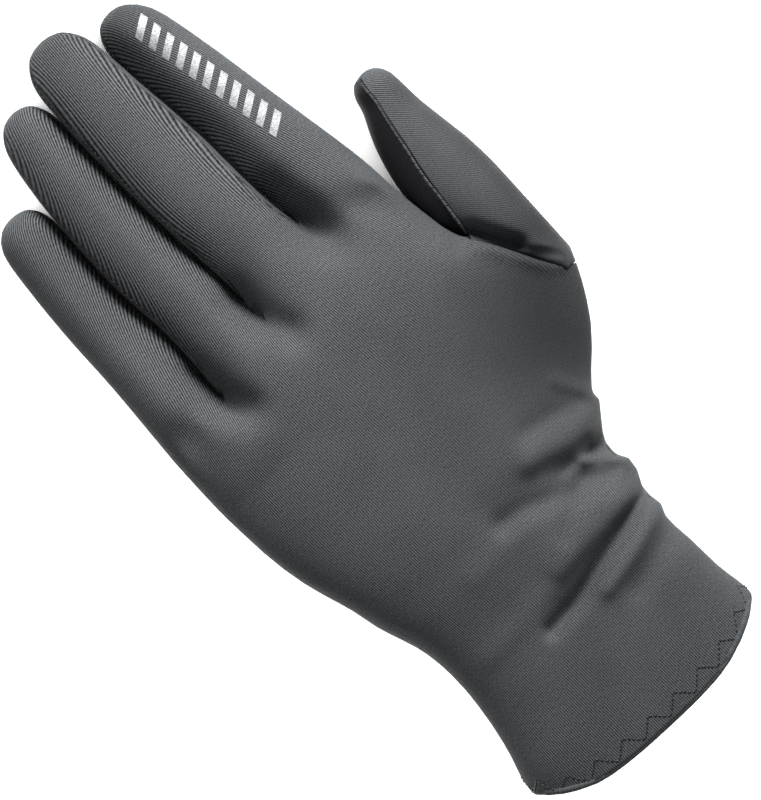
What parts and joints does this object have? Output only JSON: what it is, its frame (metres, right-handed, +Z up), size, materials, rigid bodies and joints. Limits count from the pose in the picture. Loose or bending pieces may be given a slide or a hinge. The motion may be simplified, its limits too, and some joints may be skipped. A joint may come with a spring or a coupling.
{
  "type": "glove liner",
  "caption": "Left five-finger glove liner of thin ribbed stretch knit, lying palm down, open at the cuff and hollow to the fingertips, with set-in thumb, fourchettes and turned cuff hem.",
  "frame": {"origin": "on the surface that the glove lies on, under the middle of its footprint", "axes": "+Z up out of the back of the hand, +Y along the middle finger to its tip, +X to the thumb"},
  "size_m": [0.1172, 0.2468, 0.03],
  "materials": {
    "ribbed_knit": "fine ribbed polyester and elastane knit, dark grey, soft sheen",
    "smooth_knit": "smooth close knit, near black",
    "seam_thread": "black polyester sewing thread",
    "silver_print": "silver heat-transfer print"
  },
  "bodies": {
    "root": {"hand_back_panel": "ribbed_knit", "hand_palm_panel": "smooth_knit", "fourchette_little_ring": "ribbed_knit", "fourchette_ring_middle": "ribbed_knit", "fourchette_middle_index": "ribbed_knit", "thumb_back_panel": "ribbed_knit", "thumb_inner_panel": "smooth_knit", "cuff_hem": "ribbed_knit"}
  },
  "joints": []
}
